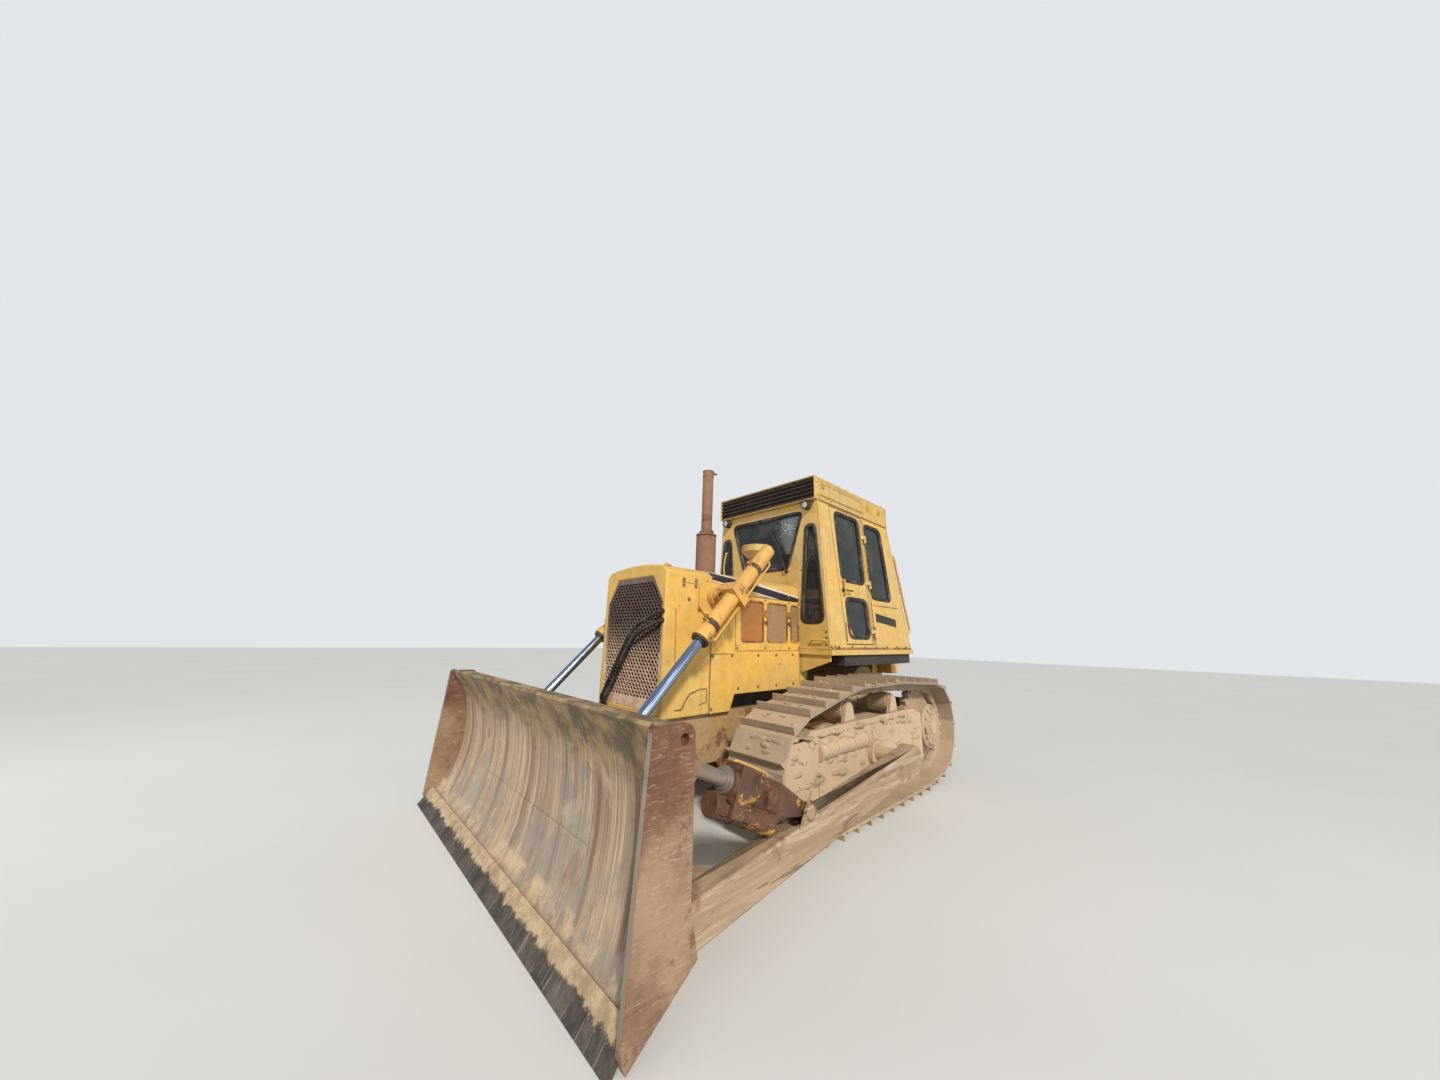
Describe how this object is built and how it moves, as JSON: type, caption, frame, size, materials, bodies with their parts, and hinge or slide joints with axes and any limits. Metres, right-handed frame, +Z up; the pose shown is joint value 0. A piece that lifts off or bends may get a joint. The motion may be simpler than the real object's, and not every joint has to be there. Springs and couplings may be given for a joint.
{
  "type": "bulldozer",
  "caption": "Crawler bulldozer with a straight tilting blade, push arms, two lift cylinders, diamond-mesh grille and an enclosed cab with hinged doors.",
  "frame": {"origin": "on the ground, under the middle of the overall length and width", "axes": "+Z up, -Y the way the machine drives forward, +X the machine's left"},
  "size_m": [3.2, 4.842, 3.142],
  "materials": {
    "yellow_paint": "faded and dusty machine yellow",
    "panel_rust": "yellow paint gone to tan and rust",
    "track_steel": "worn steel caked with tan dust",
    "frame_paint": "dusty yellow-brown paint",
    "wheel_steel": "dusty cast steel",
    "blade_face": "scratched tan-brown moldboard",
    "edge_steel": "dark worn steel",
    "arm_paint": "brown worn paint",
    "chrome_rod": "polished hard chrome",
    "cylinder_paint": "dusty yellow paint",
    "exhaust_rust": "heat-rusted steel",
    "grille_rust": "rust-brown steel mesh",
    "dark_parts": "matt black",
    "glass": "dusty window glass",
    "seat_cover": "black vinyl",
    "hose": "black rubber",
    "lamp_shell": "black shell, clear lens",
    "pin_steel": "bare steel"
  },
  "bodies": {
    "machine": {"track_left": "track_steel", "track_right": "track_steel", "sprockets": "wheel_steel", "final_drives": "frame_paint", "idlers": "wheel_steel", "rollers": "wheel_steel", "track_frame_left": "frame_paint", "track_frame_right": "frame_paint", "main_frame": "frame_paint", "drive_case": "frame_paint", "suspension_bars": "frame_paint", "drawbar": "frame_paint", "engine": "dark_parts", "radiator_guard": "yellow_paint", "radiator_grille": "grille_rust", "radiator_core": "dark_parts", "hood": "yellow_paint", "engine_panels": "yellow_paint", "engine_screens": "panel_rust", "side_plates": "yellow_paint", "exhaust_stack": "exhaust_rust", "air_cleaner": "exhaust_rust", "cab_floor": "yellow_paint", "cab_front": "yellow_paint", "cab_sides": "yellow_paint", "cab_rear": "yellow_paint", "cab_roof": "yellow_paint", "roof_louvre": "grille_rust", "cab_glass": "glass", "seat": "seat_cover", "controls": "dark_parts", "work_lamps": "lamp_shell", "handrails": "yellow_paint", "cab_supports": "yellow_paint", "under_cab_boxes": "dark_parts", "fuel_tank": "yellow_paint", "lift_yokes": "panel_rust", "grille_hoses": "hose"},
    "arm_ring": {"arm_socket_right": "pin_steel"},
    "blade": {"moldboard": "blade_face", "cutting_edge": "edge_steel", "blade_pins": "pin_steel", "push_arm_right": "arm_paint", "brace_right": "arm_paint"},
    "left_arm": {"push_arm_left": "arm_paint"},
    "tilt_barrel": {"tilt_barrel": "cylinder_paint"},
    "tilt_rod": {"tilt_rod": "chrome_rod"},
    "lift_barrel_left": {"lift_barrel_left": "cylinder_paint"},
    "lift_barrel_right": {"lift_barrel_right": "cylinder_paint"},
    "lift_rod_left": {"lift_rod_left": "chrome_rod"},
    "lift_rod_right": {"lift_rod_right": "chrome_rod"},
    "door_left": {"door_left": "yellow_paint", "door_glass_left": "glass"},
    "door_right": {"door_right": "yellow_paint", "door_glass_right": "glass"}
  },
  "joints": [
    {"name": "blade_lift", "type": "hinge", "parent": "machine", "child": "arm_ring", "pos_m": [-1.415, 0.433, 0.493], "axis": [-1, 0, 0], "range_deg": [-9.6, 18.4]},
    {"name": "blade_tilt", "type": "hinge", "parent": "arm_ring", "child": "blade", "pos_m": [-1.415, 0.433, 0.493], "axis": [0.5004, -0.8604, -0.0961], "range_deg": [-4.6, 4.6]},
    {"name": "left_arm_swing", "type": "hinge", "parent": "arm_ring", "child": "left_arm", "pos_m": [1.415, 0.433, 0.493], "axis": [-0.4699, -0.8773, -0.0979], "range_deg": [-4.55, 4.55]},
    {"name": "tilt_barrel_swing", "type": "hinge", "parent": "left_arm", "child": "tilt_barrel", "pos_m": [1.415, -1.09, 0.47], "axis": [1, 0, 0], "range_deg": [-0.9, 0.9]},
    {"name": "tilt_rod_slide", "type": "slide", "parent": "tilt_barrel", "child": "tilt_rod", "axis": [0, -0.9186, 0.3951], "range_m": [-0.052, 0.052]},
    {"name": "lift_barrel_left_swing", "type": "hinge", "parent": "machine", "child": "lift_barrel_left", "pos_m": [0.714, -0.96, 1.774], "axis": [-1, 0, 0], "range_deg": [-11.4, 21.7]},
    {"name": "lift_rod_left_slide", "type": "slide", "parent": "lift_barrel_left", "child": "lift_rod_left", "axis": [0, -0.7013, -0.7129], "range_m": [-0.6, 0.32]},
    {"name": "lift_barrel_right_swing", "type": "hinge", "parent": "machine", "child": "lift_barrel_right", "pos_m": [-0.714, -0.96, 1.774], "axis": [-1, 0, 0], "range_deg": [-11.4, 21.7]},
    {"name": "lift_rod_right_slide", "type": "slide", "parent": "lift_barrel_right", "child": "lift_rod_right", "axis": [0, -0.7013, -0.7129], "range_m": [-0.6, 0.32]},
    {"name": "door_left_swing", "type": "hinge", "parent": "machine", "child": "door_left", "pos_m": [0.82405, 1.19, 1.35], "axis": [-0.0651, 0, 0.9979], "range_deg": [0, 165]},
    {"name": "door_right_swing", "type": "hinge", "parent": "machine", "child": "door_right", "pos_m": [-0.82405, 1.19, 1.35], "axis": [-0.0651, 0, -0.9979], "range_deg": [0, 165]}
  ],
  "couplings": [
    {"joint": "left_arm_swing", "follows": "blade_tilt", "ratio": 0.9808},
    {"joint": "tilt_barrel_swing", "follows": "blade_tilt", "ratio": 0.177},
    {"joint": "tilt_rod_slide", "follows": "blade_tilt", "m_per_rad": 0.614},
    {"joint": "lift_barrel_left_swing", "follows": "blade_lift", "ratio": 1.174},
    {"joint": "lift_rod_left_slide", "follows": "blade_lift", "m_per_rad": -1.84},
    {"joint": "lift_barrel_right_swing", "follows": "blade_lift", "ratio": 1.174},
    {"joint": "lift_rod_right_slide", "follows": "blade_lift", "m_per_rad": -1.84}
  ]
}
